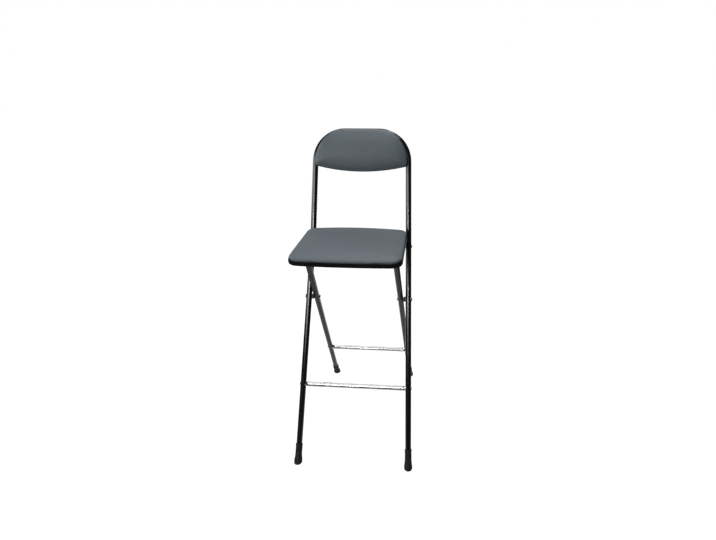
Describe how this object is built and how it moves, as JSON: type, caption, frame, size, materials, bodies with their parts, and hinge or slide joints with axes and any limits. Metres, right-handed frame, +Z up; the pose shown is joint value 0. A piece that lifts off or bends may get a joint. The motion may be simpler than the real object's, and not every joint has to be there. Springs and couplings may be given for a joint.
{
  "type": "folding bar stool",
  "caption": "Tall folding stool with crossed tube legs, a foot rail, a padded seat and a half-moon padded back in the frame's hoop.",
  "frame": {"origin": "on the floor, under the middle of the open stool", "axes": "+X to the stool's side, +Y towards its back, +Z up; the stool faces -Y"},
  "size_m": [0.4116, 0.6014, 1.0849],
  "materials": {
    "black_paint": "gloss black paint on steel",
    "chrome": "bright chrome plate",
    "rubber": "matt black rubber",
    "nylon": "matt black nylon",
    "dark_steel": "zinc-plated steel",
    "plywood": "raw plywood",
    "grey_vinyl": "grey vinyl over foam"
  },
  "bodies": {
    "main_frame": {"front_frame_tube": "black_paint", "foot_rail": "chrome", "foot_rail_plug_left": "dark_steel", "foot_rail_plug_right": "dark_steel", "foot_rail_screw_left": "chrome", "foot_rail_screw_right": "chrome", "front_foot_left": "rubber", "front_foot_right": "rubber", "scissor_rivet_left": "chrome", "scissor_rivet_right": "chrome", "scissor_spacer_left": "nylon", "scissor_spacer_right": "nylon", "seat_pin_left": "chrome", "seat_pin_right": "chrome", "seat_pin_sleeve_left": "nylon", "seat_pin_sleeve_right": "nylon", "back_board": "plywood", "back_cushion": "grey_vinyl", "back_screw_left": "dark_steel", "back_screw_middle": "dark_steel", "back_screw_right": "dark_steel", "back_tab_left": "black_paint", "back_tab_right": "black_paint", "back_tab_screw_left": "dark_steel", "back_tab_screw_right": "dark_steel"},
    "rear_frame": {"rear_frame_tube": "black_paint", "rear_rail": "chrome", "rear_rail_plug_left": "dark_steel", "rear_rail_plug_right": "dark_steel", "rear_rail_screw_left": "chrome", "rear_rail_screw_right": "chrome", "rear_foot_left": "rubber", "rear_foot_right": "rubber"},
    "seat": {"seat_tray": "black_paint", "seat_board": "plywood", "seat_cushion": "grey_vinyl", "seat_saddle_left": "black_paint", "seat_saddle_right": "black_paint", "seat_saddle_rivet_left_front": "dark_steel", "seat_saddle_rivet_left_rear": "dark_steel", "seat_saddle_rivet_right_front": "dark_steel", "seat_saddle_rivet_right_rear": "dark_steel", "seat_hook_left": "black_paint", "seat_hook_right": "black_paint", "seat_hook_rivet_left_front": "dark_steel", "seat_hook_rivet_left_rear": "dark_steel", "seat_hook_rivet_right_front": "dark_steel", "seat_hook_rivet_right_rear": "dark_steel", "seat_board_screw_left_front": "dark_steel", "seat_board_screw_left_rear": "dark_steel", "seat_board_screw_right_front": "dark_steel", "seat_board_screw_right_rear": "dark_steel"}
  },
  "joints": [
    {"name": "frame_fold", "type": "hinge", "parent": "main_frame", "child": "rear_frame", "pos_m": [0, -0.04137, 0.5245], "axis": [-1, 0, 0], "range_deg": [0, 51.2]},
    {"name": "seat_turn", "type": "hinge", "parent": "rear_frame", "child": "seat", "pos_m": [0, -0.17266, 0.736], "axis": [1, 0, 0], "range_deg": [0, 121.2]}
  ],
  "couplings": [
    {"joint": "seat_turn", "follows": "frame_fold", "ratio": 2.3672}
  ]
}
